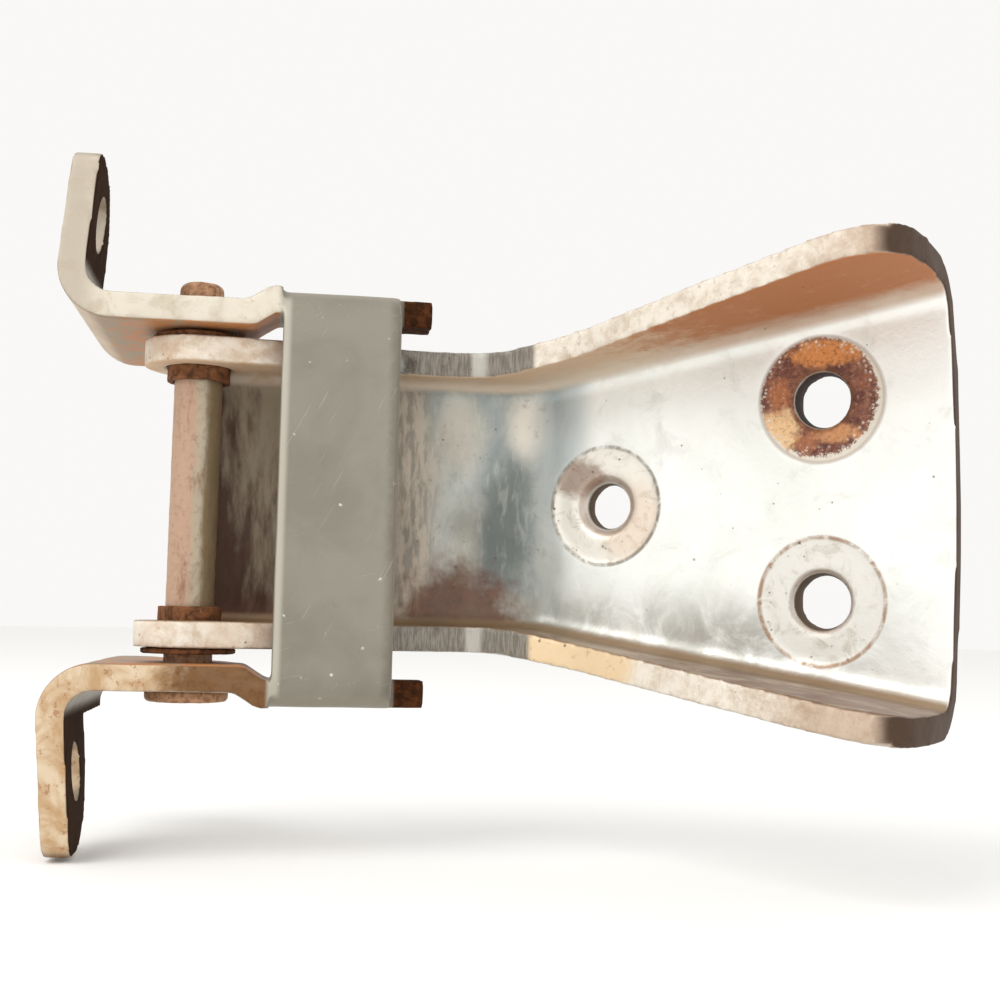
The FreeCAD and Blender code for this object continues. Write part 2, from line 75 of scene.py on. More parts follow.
class Paint:
    """One material's node tree, with short calls for arithmetic, masks and layers."""

    def __init__(self, name):
        self.material = bpy.data.materials.new(name)
        self.material.use_nodes = True
        self.tree = self.material.node_tree
        self.tree.nodes.clear()
        coordinates = self.node("ShaderNodeTexCoord")
        self.facing = coordinates.outputs["Normal"]
        self.at = self.vector("SCALE", coordinates.outputs["Object"], scale=1 / MM)
        self.x, self.y, self.z = self.split(self.at)
        self.facing_x, self.facing_y, self.facing_z = self.split(self.facing)

    def node(self, kind, **settings):
        made = self.tree.nodes.new(kind)
        for key, value in settings.items():
            setattr(made, key, value)
        return made

    def feed(self, socket, value):
        if isinstance(value, bpy.types.NodeSocket):
            self.tree.links.new(value, socket)
        else:
            socket.default_value = value

    def split(self, vector):
        made = self.node("ShaderNodeSeparateXYZ")
        self.feed(made.inputs[0], vector)
        return made.outputs[0], made.outputs[1], made.outputs[2]

    def join(self, x, y, z):
        made = self.node("ShaderNodeCombineXYZ")
        for socket, value in zip(made.inputs, (x, y, z)):
            self.feed(socket, value)
        return made.outputs[0]

    def calculate(self, operation, first, second=0.0):
        made = self.node("ShaderNodeMath", operation=operation)
        for socket, value in zip(made.inputs, (first, second)):
            self.feed(socket, value)
        return made.outputs[0]

    def vector(self, operation, first, second=None, scale=None):
        made = self.node("ShaderNodeVectorMath", operation=operation)
        self.feed(made.inputs[0], first)
        if second is not None:
            self.feed(made.inputs[1], second)
        if scale is not None:
            self.feed(made.inputs["Scale"], scale)
        return made.outputs["Value" if operation == "LENGTH" else "Vector"]

    def add(self, *values):
        total = values[0]
        for value in values[1:]:
            total = self.calculate("ADD", total, value)
        return total

    def times(self, *values):
        product = values[0]
        for value in values[1:]:
            product = self.calculate("MULTIPLY", product, value)
        return product

    def minus(self, first, second):
        return self.calculate("SUBTRACT", first, second)

    def most(self, *values):
        largest = values[0]
        for value in values[1:]:
            largest = self.calculate("MAXIMUM", largest, value)
        return largest

    def absolute(self, value):
        return self.calculate("ABSOLUTE", value)

    def uneven(self, pattern, strength):
        """A pattern from 0 to 1 turned into an unevenness about zero."""
        return self.times(self.minus(pattern, 0.5), strength)

    def ramp(self, value, low, high):
        """0 below low, 1 above high, smooth between; low above high turns it round."""
        made = self.node("ShaderNodeMapRange", interpolation_type="SMOOTHSTEP")
        if low > high:
            low, high = high, low
            self.feed(made.inputs["To Min"], 1.0)
            self.feed(made.inputs["To Max"], 0.0)
        self.feed(made.inputs["Value"], value)
        self.feed(made.inputs["From Min"], low)
        self.feed(made.inputs["From Max"], high)
        return made.outputs[0]

    def spread(self, scale, seed, vector=None):
        """Coordinates scaled along each axis and moved to another part of the pattern."""
        made = self.node("ShaderNodeVectorMath", operation="MULTIPLY_ADD")
        self.feed(made.inputs[0], self.at if vector is None else vector)
        made.inputs[1].default_value = tuple(scale)
        made.inputs[2].default_value = (seed * 7.1, seed * 3.3, seed * 5.7)
        return made.outputs[0]

    def noise(self, size, detail=4.0, rough=0.6, warp=0.0, stretch=(1, 1, 1), seed=0.0):
        """Noise from 0 to 1 whose patches are about size millimetres."""
        made = self.node("ShaderNodeTexNoise", noise_dimensions="3D", normalize=True)
        self.feed(made.inputs["Vector"], self.spread([share / size for share in stretch], seed))
        self.feed(made.inputs["Scale"], 1.0)
        self.feed(made.inputs["Detail"], detail)
        self.feed(made.inputs["Roughness"], rough)
        self.feed(made.inputs["Distortion"], warp)
        return made.outputs[0]

    def spots(self, size, radius, seed=0.0):
        """Round dots of a radius, one in each cell of a size, in millimetres."""
        made = self.node("ShaderNodeTexVoronoi", voronoi_dimensions="3D", feature="F1")
        self.feed(made.inputs["Vector"], self.spread([1 / size] * 3, seed))
        self.feed(made.inputs["Scale"], 1.0)
        self.feed(made.inputs["Randomness"], 1.0)
        return self.ramp(made.outputs["Distance"], radius / size, 0.35 * radius / size)

    def scratches(self, size, angle, seed=0.0):
        """Thin straight marks in the x-z plane, running at an angle in degrees."""
        turn = self.node("ShaderNodeVectorRotate", rotation_type="Y_AXIS")
        self.feed(turn.inputs["Vector"], self.at)
        self.feed(turn.inputs["Angle"], math.radians(angle))
        made = self.node("ShaderNodeTexNoise", noise_dimensions="3D", normalize=True)
        spread = self.spread((0.05 / size, 1 / size, 1 / size), seed, turn.outputs[0])
        self.feed(made.inputs["Vector"], spread)
        self.feed(made.inputs["Scale"], 1.0)
        self.feed(made.inputs["Detail"], 1.0)
        return self.ramp(made.outputs[0], 0.70, 0.76)

    def patch(self, centre, radii, soft, ragged, size, seed=0.0):
        """1 in an ellipsoid about a point, in millimetres, with a soft and ragged rim."""
        offset = self.vector("SUBTRACT", self.at, tuple(centre))
        shrunk = self.vector("DIVIDE", offset, tuple(radii))
        reach = self.vector("LENGTH", shrunk)
        reach = self.add(reach, self.uneven(self.noise(size, seed=seed), 2 * ragged))
        return self.ramp(reach, 1 + soft / 2, 1 - soft / 2)

    def from_middle(self, x, z):
        """Distance in the x-z plane from a line through (x, z)."""
        flat = self.join(self.x, 0.0, self.z)
        return self.vector("LENGTH", self.vector("SUBTRACT", flat, (x, 0.0, z)))

    def mix(self, share, under, over):
        made = self.node("ShaderNodeMix", data_type="RGBA")
        self.feed(made.inputs[0], share)
        self.feed(made.inputs[6], under)
        self.feed(made.inputs[7], over)
        return made.outputs[2]

    def blend(self, share, under, over):
        made = self.node("ShaderNodeMix", data_type="FLOAT")
        self.feed(made.inputs[0], share)
        self.feed(made.inputs[2], under)
        self.feed(made.inputs[3], over)
        return made.outputs[0]

    def finish(self, base, rough, metal, height, depth, specular=0.5):
        """The shader, with a bump of a depth in millimetres under a height from 0 to 1."""
        shader = self.node("ShaderNodeBsdfPrincipled")
        output = self.node("ShaderNodeOutputMaterial")
        bump = self.node("ShaderNodeBump")
        self.feed(bump.inputs["Height"], height)
        bump.inputs["Strength"].default_value = 1.0
        bump.inputs["Distance"].default_value = depth * MM
        shader.inputs["Specular IOR Level"].default_value = specular
        self.feed(shader.inputs["Base Color"], base)
        self.feed(shader.inputs["Roughness"], rough)
        self.feed(shader.inputs["Metallic"], metal)
        self.feed(shader.inputs["Normal"], bump.outputs[0])
        self.feed(output.inputs["Surface"], shader.outputs[0])
        return self.material


RUST = {
    "tan": colour(190, 152, 116),
    "peach": colour(222, 184, 146),
    "brown": colour(118, 74, 42),
    "dark": colour(62, 38, 24),
}

# Patches on the neck, mostly painted highlights and painted shade of its dented, curved face, some its own
# tone: x, z, half width, half height, strength and tone.
NECK_LIGHT_AND_TONE_PATCHES = (
    (-17.5, -5, 5.0, 13.0, 0.85, colour(92, 99, 96)),
    (-20.5, 13, 3.5, 7.0, 0.6, colour(132, 144, 146)),
    (-13.5, 14, 4.0, 5.0, 0.8, colour(226, 218, 204)),
    (-23.5, 12, 4.0, 6.0, 0.55, colour(196, 186, 168)),
    (-11.0, -2, 2.5, 16.0, 0.5, colour(176, 176, 168)),
    (-23.0, -9, 3.0, 9.0, 0.55, colour(146, 138, 122)),
    (-17.0, -19, 7.0, 3.5, 0.5, colour(170, 160, 144)),
)

# Patches on the rusted seat, placed from its middle: the same six values.
RUSTED_SEAT_PATCHES = (
    (0.5, 7.4, 5.2, 2.2, 0.95, colour(216, 142, 80)),
    (-6.6, -4.6, 2.8, 3.4, 0.95, colour(238, 200, 152)),
    (2.6, -5.4, 3.6, 1.4, 0.8, colour(218, 158, 108)),
    (-7.0, 1.2, 1.8, 2.6, 0.6, colour(196, 124, 78)),
    (6.8, 2.6, 1.4, 1.2, 0.4, colour(164, 104, 76)),
    (-2.4, -6.8, 2.0, 1.6, 0.5, colour(196, 128, 84)),
)


def leaf_places(paint):
    """Masks from 0 to 1 for the leaf's faces, and the noises that its layers share."""
    spread = paint.times(paint.most(paint.add(paint.x, -FLARE_START), 0.0), FLARE_SLOPE)
    out = paint.absolute(paint.z)
    from_edge = paint.minus(paint.add(NECK_HALF, spread), out)
    past_turn = paint.calculate("MINIMUM", paint.add(paint.x, -NECK_START), 0.0)
    above_web = paint.minus(paint.times(past_turn, NECK_SLOPE), paint.y)
    back = paint.ramp(paint.facing_y, 0.35, 0.75)
    sideways = paint.ramp(paint.absolute(paint.facing_z), 0.5, 0.9)
    inside = paint.times(paint.ramp(from_edge, 3.6, 4.4), paint.ramp(paint.facing_y, 0.5, 0.1))
    return SimpleNamespace(
        out=out,
        from_edge=from_edge,
        above_web=above_web,
        front=paint.ramp(paint.facing_y, -0.35, -0.75),
        rim=paint.times(paint.ramp(from_edge, 5.6, 4.4), paint.ramp(above_web, 8.5, 10.5),
                        paint.ramp(paint.facing_y, -0.25, -0.6)),
        upper_inside=paint.times(inside, paint.ramp(paint.facing_z, -0.45, -0.85),
                                 paint.ramp(paint.z, 5.0, 10.0)),
        lower_inside=paint.times(inside, paint.ramp(paint.facing_z, 0.45, 0.85),
                                 paint.ramp(paint.z, -5.0, -10.0)),
        outside=paint.times(paint.ramp(from_edge, 3.0, 1.0), paint.most(sideways, back)),
        behind_bridge=paint.times(paint.ramp(paint.x, -31.0, -35.5),
                                  paint.ramp(paint.facing_y, -0.35, -0.75)),
        wide_end=paint.times(paint.ramp(paint.facing_x, 0.45, 0.75), paint.ramp(paint.x, 50.0, 53.0)),
        bare=paint.times(paint.ramp(paint.x, -29.0, -27.5), paint.ramp(paint.x, -6.4, -7.8)),
        cloud=paint.noise(22, 5, 0.6, 0.6),
        smudge=paint.noise(7, 6, 0.65, 0.8, seed=3.0),
        fleck=paint.noise(1.8, 4, 0.7, 0.3, seed=14.0),
        brushed=paint.noise(1.1, 3, 0.6, 0.2, stretch=(1.0, 0.4, 0.22), seed=16.0),
        coarse=paint.noise(3.6, 6, 0.75, 0.2, seed=31.0),
        fine_rust=paint.noise(1.3, 5, 0.75, seed=33.0),
        lines=paint.noise(0.35, 3, 0.6, stretch=(1.0, 1.0, 0.12), seed=41.0),
    )


def web_colour(paint, leaf):
    """Flared web: off-white silver with faint smudges."""
    base = paint.mix(paint.ramp(leaf.cloud, 0.35, 0.7), colour(248, 249, 244), colour(236, 238, 232))
    smudges = paint.times(paint.ramp(leaf.smudge, 0.52, 0.75), 0.5)
    base = paint.mix(smudges, base, colour(206, 207, 200))
    low_shade = paint.times(paint.ramp(paint.z, -11.0, -22.0), paint.ramp(leaf.smudge, 0.25, 0.6),
                            paint.ramp(paint.x, 62.0, 30.0), 0.75)
    base = paint.mix(low_shade, base, colour(152, 150, 140))
    stain = paint.times(paint.ramp(paint.noise(9, 6, 0.7, 1.2, seed=5.0), 0.5, 0.72),
                        paint.ramp(leaf.from_edge, 13.0, 5.0), paint.ramp(paint.x, -22.0, 6.0))
    return paint.mix(paint.times(stain, 0.2), base, RUST["tan"])


def neck_colour(paint, leaf, base):
    """Neck: brushed blue grey with painted highlights and painted shade of its dents, darkest in the
    middle, brown towards the bridge and behind it, with painted shade in the hollow towards the pin.
    """
    blotch = paint.noise(6, 4, 0.6, 0.4, stretch=(1.0, 1.0, 0.6), seed=12.0)
    blue = paint.mix(paint.ramp(blotch, 0.36, 0.66), colour(176, 178, 172), colour(140, 146, 142))
    # Painted highlights and painted shade of the dented neck, with some patches of its own tone.
    for x, z, wide, tall, strength, tone in NECK_LIGHT_AND_TONE_PATCHES:
        middle = (x, (x - NECK_START) * NECK_SLOPE - GAUGE, z)
        spot = paint.patch(middle, (wide, wide, tall), 1.2, 0.35, 5.0, x + z)
        blue = paint.mix(paint.times(spot, strength), blue, tone)
    brush_marks = paint.times(paint.ramp(leaf.brushed, 0.5, 0.72), 0.24)
    blue = paint.mix(brush_marks, blue, colour(204, 202, 194))
    dark_flecks = paint.times(paint.ramp(leaf.fleck, 0.58, 0.7), 0.3)
    blue = paint.mix(dark_flecks, blue, colour(84, 88, 84))
    base = paint.mix(paint.ramp(paint.x, -4.5, -13.0), base, blue)
    fold_shade = paint.times(paint.ramp(paint.x, -1.0, -6.5), paint.ramp(paint.x, -15.5, -9.5),
                             paint.ramp(paint.z, -14.0, 16.0), 0.6)
    base = paint.mix(fold_shade, base, colour(150, 164, 168))
    ragged_x = paint.add(paint.x, paint.times(blotch, 7.0))
    tan_side = paint.times(paint.ramp(ragged_x, -21.0, -27.0), leaf.front)
    tan = paint.mix(paint.ramp(leaf.brushed, 0.42, 0.62), colour(164, 148, 128), colour(112, 98, 80))
    base = paint.mix(paint.times(tan_side, 0.75), base, tan)
    base = behind_bridge_colour(paint, leaf, base)
    corner = paint.patch((-24, -12, -19), (9, 12, 8), 0.8, 0.6, 3.0, 4.0)
    corner_rust = paint.mix(leaf.fleck, colour(112, 62, 32), colour(58, 32, 18))
    return paint.mix(paint.times(corner, 0.85), base, corner_rust)


def behind_bridge_colour(paint, leaf, base):
    """Web seen behind the bridge: tan, with painted shade darkening it towards the pin in the hollow
    between pin and bridge, rusty at the bottom.
    """
    streaks = paint.noise(5, 5, 0.65, stretch=(2.2, 1.0, 0.45), seed=21.0)
    darker_low = paint.times(paint.z, -0.010)
    # Painted shade: darker towards the pin, in the hollow between pin and bridge.
    pin_hollow_shade = paint.times(paint.add(paint.x, 49.0), -0.035)
    dark = paint.ramp(paint.add(streaks, darker_low, pin_hollow_shade), 0.42, 0.80)
    tone = paint.mix(dark, colour(156, 142, 120), colour(74, 42, 22))
    low_rust = paint.ramp(paint.add(paint.z, paint.times(streaks, 8.0)), -12.0, -18.0)
    tone = paint.mix(paint.times(low_rust, 0.75), tone, colour(104, 48, 24))
    return paint.mix(paint.times(leaf.behind_bridge, 0.92), base, tone)


def rim_rust(paint, leaf):
    """How rusty the rims are: flecks everywhere, more at the wide corners."""
    lower_half = paint.ramp(paint.z, 2.0, -2.0)
    towards_end = paint.add(paint.x, paint.times(leaf.fine_rust, 20.0), paint.times(lower_half, 8.0))
    corner = paint.times(paint.ramp(towards_end, 50.0, 64.0), 0.6)
    return paint.most(paint.times(paint.ramp(leaf.fine_rust, 0.58, 0.72), 0.6), corner)


def rim_colour(paint, leaf, rust, base):
    """Rims: cream-white with rust flecks, and bare sheared steel along the neck, with a painted highlight
    where the rim's edge turns.
    """
    tone = paint.mix(paint.ramp(leaf.coarse, 0.4, 0.7), colour(226, 217, 203), colour(196, 180, 158))
    cream = paint.times(paint.patch((-3, -18, -26), (17, 16, 9), 0.3, 0.2, 4.0),
                        paint.ramp(paint.z, -5, -10))
    tone = paint.mix(paint.times(cream, 0.85), tone, colour(226, 196, 152))
    tone = paint.mix(rust, tone, paint.mix(leaf.coarse, RUST["tan"], RUST["brown"]))
    from_centre = paint.absolute(paint.add(leaf.from_edge, -2.3))
    chipped = paint.times(paint.ramp(from_centre, 1.7, 2.3), paint.ramp(leaf.fine_rust, 0.42, 0.56), 0.7)
    tone = paint.mix(chipped, tone, colour(142, 98, 62))
    steel = paint.mix(paint.ramp(leaf.lines, 0.36, 0.64), colour(140, 132, 120), colour(106, 99, 89))
    dull = paint.times(paint.ramp(leaf.coarse, 0.45, 0.7), 0.4)
    steel = paint.mix(dull, steel, colour(86, 74, 60))
    # Painted highlight: a pale band on the bare steel where the rim's edge changes slope.
    rim_turn_highlight = paint.times(paint.ramp(paint.x, -18.6, -17.6), paint.ramp(paint.x, -15.0, -16.4), 0.6)
    steel = paint.mix(rim_turn_highlight, steel, colour(206, 202, 192))
    tone = paint.mix(leaf.bare, tone, steel)
    return paint.mix(leaf.rim, base, tone)


def flange_colour(paint, leaf, base):
    """Flange inner faces: orange-brown above, thinner tan and brown below."""
    rust = paint.add(paint.times(paint.ramp(paint.x, -14.0, 34.0), 0.9), paint.uneven(leaf.coarse, 1.3))
    upper = paint.mix(paint.ramp(rust, 0.2, 0.85), colour(206, 178, 148), colour(172, 110, 66))
    near_web = paint.ramp(paint.add(leaf.above_web, paint.times(leaf.smudge, 9.0)), 18.0, 8.0)
    upper = paint.mix(paint.times(near_web, 0.75), upper, colour(216, 206, 190))
    base = paint.mix(leaf.upper_inside, base, upper)
    lower_rust = paint.times(paint.ramp(paint.add(leaf.smudge, paint.times(paint.x, 0.004)), 0.45, 0.75),
                             paint.ramp(leaf.above_web, 6.0, 11.0))
    lower = paint.mix(lower_rust, colour(150, 126, 98), colour(110, 76, 48))
    return paint.mix(leaf.lower_inside, base, lower)


def outer_colour(paint, leaf, base):
    """Outer faces and back: dull silver with long rust stains; brown wide end; stained ears."""
    stain = paint.ramp(paint.noise(12, 6, 0.7, 1.0, seed=51.0), 0.48, 0.7)
    outer = paint.mix(paint.times(stain, 0.8), colour(196, 192, 182), colour(158, 122, 90))
    base = paint.mix(leaf.outside, base, outer)
    end_tone = paint.mix(leaf.coarse, colour(84, 58, 34), colour(44, 27, 16))
    base = paint.mix(leaf.wide_end, base, end_tone)
    ear = paint.times(paint.ramp(paint.x, -40.0, -44.0), paint.ramp(leaf.out, 19.0, 20.0))
    base = paint.mix(paint.times(ear, paint.ramp(leaf.smudge, 0.35, 0.7), 0.5), base, RUST["tan"])
    ragged_x = paint.add(paint.x, paint.times(leaf.smudge, 6.0))
    ear_rim = paint.times(paint.ramp(ragged_x, -42.0, -36.0), paint.ramp(paint.x, -29.0, -31.0), leaf.rim)
    return paint.mix(paint.times(ear_rim, 0.65), base, colour(140, 92, 54))


def rusted_seat(paint, x, z, uneven):
    """Colour of the rusted seat: purple-brown with orange and cream patches and a pale crescent."""
    tone = paint.mix(paint.ramp(uneven, 0.36, 0.64), colour(146, 96, 76), colour(98, 56, 48))
    speck = paint.noise(0.7, 4, 0.75, seed=66.0)
    for aside, above, wide, tall, strength, patch_tone in RUSTED_SEAT_PATCHES:
        middle = (x + aside, -4.3, z + above)
        tinted = paint.patch(middle, (wide, 8.0, tall), 0.7, 0.9, 1.6, aside + above)
        tone = paint.mix(paint.times(tinted, strength), tone, patch_tone)
    tone = paint.mix(paint.times(paint.ramp(uneven, 0.6, 0.75), 0.4), tone, RUST["dark"])
    tone = paint.mix(paint.times(paint.ramp(speck, 0.5, 0.66), 0.5), tone, colour(74, 42, 34))
    tone = paint.mix(paint.times(paint.ramp(speck, 0.44, 0.32), 0.45), tone, colour(228, 186, 146))
    off_centre = paint.from_middle(x - 0.5, z + 0.5)
    crescent = paint.ramp(paint.add(off_centre, paint.times(speck, 3.0)), 10.7, 11.2)
    flecks = paint.times(paint.spots(0.8, 0.36, 71.0), paint.ramp(off_centre, 7.4, 9.0),
                         paint.ramp(speck, 0.4, 0.55))
    return paint.mix(paint.most(crescent, flecks), tone, colour(226, 220, 206))


def clean_seat(paint, place, x, z, uneven):
    """Colour of the two painted seats: off-white with pits, the middle one with two stains."""
    clean = colour(228, 226, 218) if place == "lower" else colour(238, 234, 224)
    tone = paint.mix(paint.ramp(uneven, 0.48, 0.74), clean, colour(196, 190, 176))
    pitted = paint.times(paint.spots(1.3, 0.26, 81.0 + x), paint.ramp(uneven, 0.5, 0.6))
    tone = paint.mix(paint.times(pitted, 0.85), tone, colour(72, 62, 52))
    if place == "middle":
        rusty = paint.patch((x - 5.5, -4.0, z + 5.0), (5.0, 6.0, 3.2), 0.6, 0.5, 2.0)
        tone = paint.mix(paint.times(rusty, 0.7), tone, colour(132, 98, 76))
        peach = paint.patch((x + 5.0, -4.0, z - 3.0), (5.5, 6.0, 7.0), 0.8, 0.3, 3.0)
        tone = paint.mix(paint.times(peach, 0.35), tone, RUST["peach"])
    return tone


def seat_colour(paint, leaf, place, base):
    """One seat with a dark line round its edge, partly rust and partly painted shadow of the recessed
    seat's edge, its hole's wall and lip; also the masks that are dull.
    """
    x, z = SEATS[place]
    reach = paint.from_middle(x, z)
    web_front = paint.times(leaf.front, paint.ramp(paint.y, -7.0, -6.0))
    seat = paint.times(paint.ramp(reach, 10.3, 9.7), web_front)
    uneven = paint.noise(3.4, 5, 0.7, 1.2, seed=60.0 + x + z)
    # The line round the seat: partly brown rust, partly painted shadow along the recess's edge.
    ring = paint.times(paint.ramp(reach, 9.5, 9.95), paint.ramp(reach, 10.55, 10.15), web_front)
    through = paint.ramp(paint.absolute(paint.facing_y), 0.6, 0.3)
    wall = paint.times(paint.ramp(reach, 5.0, 4.6), through)
    if place == "upper":
        base = paint.mix(seat, base, rusted_seat(paint, x, z, uneven))
        base = paint.mix(paint.times(ring, 0.35), base, RUST["brown"])
        wall_tone = colour(44, 24, 14)
        dull = [seat, wall]
    else:
        base = paint.mix(seat, base, clean_seat(paint, place, x, z, uneven))
        ring_shadow_and_rust_tone = colour(150, 108, 70) if place == "lower" else colour(128, 118, 104)
        base = paint.mix(paint.times(ring, paint.ramp(uneven, 0.3, 0.6), 0.85), base, ring_shadow_and_rust_tone)
        wall_tone = colour(84, 66, 46)
        dull = [wall]
    base = paint.mix(wall, base, wall_tone)
    lip = paint.times(paint.ramp(paint.add(reach, paint.times(uneven, 1.2)), 6.1, 5.6), web_front)
    return paint.mix(paint.times(lip, 0.45), base, RUST["brown"]), dull


def leaf_steel():
    """Zinc-silver sheet, bluish and dull over the neck, rusted along flanges, rims and seats."""
    paint = Paint("leaf_steel")
    leaf = leaf_places(paint)
    rust = rim_rust(paint, leaf)
    base = web_colour(paint, leaf)
    base = neck_colour(paint, leaf, base)
    base = rim_colour(paint, leaf, rust, base)
    base = flange_colour(paint, leaf, base)
    base = outer_colour(paint, leaf, base)
    dull_places = [leaf.upper_inside, paint.times(leaf.rim, rust), leaf.wide_end, leaf.behind_bridge]
    for place in SEATS:
        base, dull = seat_colour(paint, leaf, place, base)
        dull_places += dull
    pits = paint.times(paint.spots(4.2, 0.34, 2.0), paint.ramp(leaf.cloud, 0.42, 0.52))
    specks = paint.times(paint.spots(2.3, 0.2, 9.0), paint.ramp(leaf.smudge, 0.5, 0.62))
    marks = paint.most(pits, specks)
    base = paint.mix(paint.times(marks, 0.75), base, colour(92, 80, 66))

    rusty = paint.most(*dull_places)
    rough = paint.add(paint.blend(rusty, 0.40, 0.72), paint.uneven(leaf.smudge, 0.25))
    metal = paint.blend(paint.most(rusty, leaf.rim), 0.45, 0.08)
    grain = paint.noise(0.7, 3, 0.7, seed=8.0)
    height = paint.add(paint.times(grain, 0.25), paint.times(leaf.fleck, 0.5), paint.times(marks, -0.9),
                       paint.times(leaf.fine_rust, rusty, 0.9),
                       paint.times(leaf.lines, leaf.bare, leaf.rim, 0.8))
    return paint.finish(base, rough, metal, height, 0.12)


def strap_space(paint):
    """Coordinates in the strap's own frame: along it to the bridge, and behind the bridge's face."""
    turned = []
    for vector in (paint.vector("SUBTRACT", paint.at, PIN), paint.facing):
        turn = paint.node("ShaderNodeVectorRotate", rotation_type="Z_AXIS")
        paint.feed(turn.inputs["Vector"], vector)
        turn.inputs["Angle"].default_value = -STRAP_TURN
        turned.append(turn.outputs[0])
    paint.at = turned[0]
    paint.x, paint.y, paint.z = paint.split(turned[0])
    paint.facing_x, paint.facing_y, paint.facing_z = paint.split(turned[1])


def strap_places(paint):
    """Masks from 0 to 1 for the strap's faces, and the noises that its layers share."""
    out = paint.absolute(paint.z)
    flat = paint.absolute(paint.facing_z)
    bridge = paint.times(paint.ramp(paint.x, 12.2, 13.2), paint.ramp(paint.x, 34.0, 33.0))
    arms = paint.ramp(paint.x, 13.6, 12.6)
    foot = paint.times(paint.ramp(paint.x, -13.5, -15.0), paint.ramp(out, 34.0, 36.5))
    return SimpleNamespace(
        bridge_face=paint.times(bridge, paint.ramp(paint.facing_y, -0.55, -0.85)),
        hollow=paint.times(bridge, paint.ramp(paint.facing_y, 0.2, 0.6)),
        top=paint.times(bridge, paint.ramp(flat, 0.6, 0.9), paint.ramp(out, 31.5, 32.5)),
        shaded_rusty_toe=paint.ramp(paint.x, 33.2, 33.8),
        arms=arms,
        strip=paint.times(arms, paint.ramp(paint.facing_y, -0.45, -0.75)),
        inner_arm=paint.times(arms, paint.ramp(flat, 0.55, 0.9), paint.ramp(out, 30.2, 29.0)),
        outer_arm=paint.times(arms, paint.ramp(flat, 0.55, 0.9), paint.ramp(out, 30.2, 31.0)),
        shaded_rusty_foot_inner=paint.times(foot, paint.ramp(paint.facing_x, 0.55, 0.85)),
        foot_outer=paint.times(foot, paint.ramp(paint.facing_x, -0.55, -0.85)),
        bend=paint.times(arms, paint.ramp(paint.facing_x, -0.2, -0.5),
                         paint.ramp(paint.facing_y, -0.5, -0.2), paint.ramp(out, 36.5, 34.0)),
        lower=paint.ramp(paint.z, 3.0, -3.0),
        cloud=paint.noise(14, 4, 0.55, 0.5, seed=2.0),
        smudge=paint.noise(5, 6, 0.65, 0.8, seed=5.0),
        fine=paint.noise(1.3, 4, 0.7, seed=7.0),
    )


def bridge_colour(paint, strap, scratches, chips):
    """Satin warm grey with a painted highlight on the left rounded edge and painted shade on the right
    one, scratches, chips and specks.
    """
    base = paint.mix(paint.ramp(strap.cloud, 0.35, 0.68), colour(142, 137, 126), colour(132, 127, 116))
    smudges = paint.times(paint.ramp(strap.smudge, 0.55, 0.75), 0.2)
    base = paint.mix(smudges, base, colour(118, 113, 102))
    # Painted highlight along the bridge's left rounded edge.
    bevel_highlight = paint.times(strap.bridge_face, paint.ramp(paint.x, 15.4, 14.4))
    base = paint.mix(paint.times(bevel_highlight, 0.75), base, colour(190, 184, 170))
    ragged_x = paint.add(paint.x, paint.times(strap.fine, 1.5))
    # Painted shade along the bridge's right rounded edge.
    bevel_shade = paint.times(strap.bridge_face, paint.ramp(ragged_x, 31.2, 33.0))
    base = paint.mix(paint.times(bevel_shade, 0.6), base, colour(104, 98, 86))
    base = paint.mix(paint.times(scratches, 0.16), base, colour(196, 192, 182))
    base = paint.mix(chips, base, colour(222, 220, 212))
    specks = paint.times(paint.spots(5.0, 0.3, 6.0), paint.ramp(strap.cloud, 0.5, 0.56))
    return paint.mix(paint.times(specks, strap.bridge_face, 0.7), base, colour(84, 76, 62))


def strip_colour(paint, strap, rust, base):
    """Edges of arms and feet that face the front: cream above, browner below and near the pin."""
    cream = paint.mix(paint.ramp(strap.smudge, 0.42, 0.7), colour(214, 206, 190), colour(192, 180, 160))
    peach = paint.mix(paint.ramp(strap.smudge, 0.36, 0.66), colour(212, 192, 164), colour(184, 150, 112))
    shaded = paint.ramp(paint.x, -14.0, -19.0)
    cream = paint.mix(paint.times(shaded, 0.8), cream, colour(178, 166, 150))
    tone = paint.mix(strap.lower, cream, peach)
    tone = paint.mix(rust, tone, paint.mix(strap.lower, RUST["tan"], colour(150, 98, 58)))
    ragged_x = paint.add(paint.x, paint.times(strap.smudge, 10.0))
    near_pin = paint.times(strap.lower, paint.ramp(ragged_x, -1.0, 6.0))
    brown = paint.mix(strap.fine, colour(124, 84, 48), colour(80, 50, 28))
    tone = paint.mix(paint.times(near_pin, 0.9), tone, brown)
    return paint.mix(strap.strip, base, tone)


def arm_colour(paint, strap, base):
    """Broad faces of arms and feet: rusty inside, duller outside, dark rust with painted shade inside the
    feet.
    """
    inner_rust = paint.ramp(paint.add(strap.smudge, paint.times(paint.x, -0.006)), 0.42, 0.68)
    inner = paint.mix(inner_rust, colour(178, 120, 76), colour(150, 136, 116))
    base = paint.mix(strap.inner_arm, base, inner)
    outer = paint.mix(paint.ramp(strap.smudge, 0.45, 0.7), colour(176, 166, 148), colour(136, 98, 66))
    base = paint.mix(paint.times(strap.outer_arm, 0.9), base, outer)
    # Inside the feet: dark rust, darkened further as painted shade, since this face lies in shadow.
    shaded_rusty_foot_inner = paint.mix(strap.smudge, colour(56, 34, 16), colour(38, 22, 10))
    base = paint.mix(strap.shaded_rusty_foot_inner, base, shaded_rusty_foot_inner)
    foot_outer = paint.mix(paint.ramp(strap.smudge, 0.4, 0.65), colour(190, 182, 168),
                           colour(146, 108, 78))
    base = paint.mix(strap.foot_outer, base, foot_outer)
    bend = paint.mix(strap.smudge, colour(206, 190, 168), colour(170, 148, 124))
    return paint.mix(strap.bend, base, bend)


